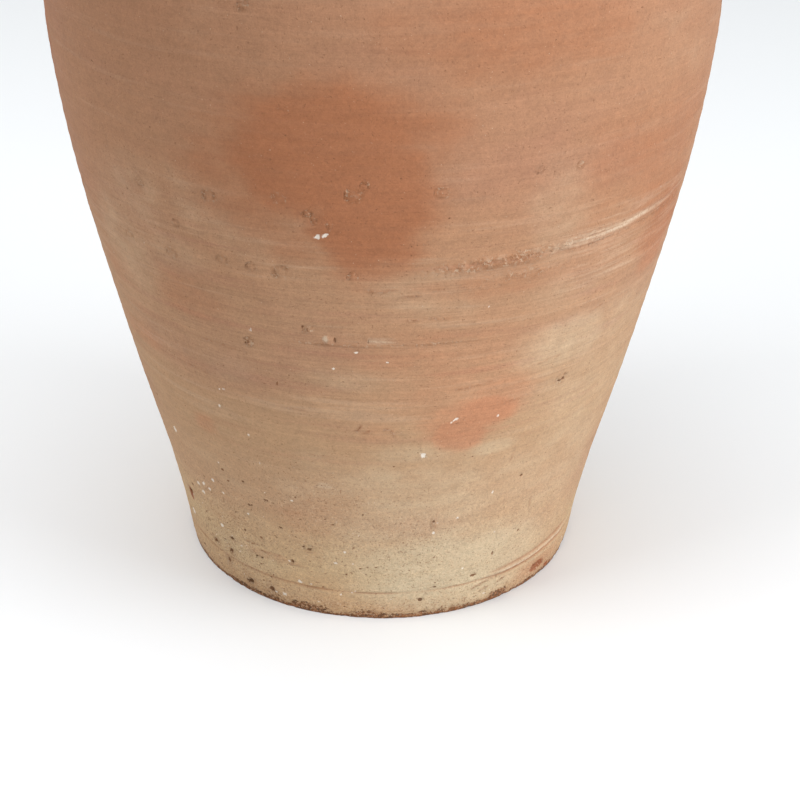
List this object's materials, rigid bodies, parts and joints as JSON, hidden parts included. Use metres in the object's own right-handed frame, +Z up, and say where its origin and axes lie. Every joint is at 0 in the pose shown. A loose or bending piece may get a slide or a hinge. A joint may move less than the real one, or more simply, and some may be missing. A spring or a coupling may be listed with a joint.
{
  "type": "amphora",
  "caption": "Large flat-based storage amphora in unglazed clay, with stacked thrown wall sections, a short neck, a rolled rim and strap handles.",
  "frame": {"origin": "centre of the foot, on the surface that the jar stands on", "axes": "+Z up along the jar's axis, with the handles on the X axis and the front of the jar at -Y"},
  "size_m": [0.456, 0.456, 0.715],
  "materials": {
    "foot_clay": "matte",
    "wall_clay": "matte",
    "collar_clay": "matte",
    "handle_clay": "matte"
  },
  "bodies": {
    "root": {"base_slab": "foot_clay", "lower_wall": "wall_clay", "middle_wall": "wall_clay", "belly_wall": "wall_clay", "shoulder": "wall_clay", "neck": "collar_clay", "rim": "collar_clay", "handle_right": "handle_clay", "handle_left": "handle_clay"}
  },
  "joints": []
}
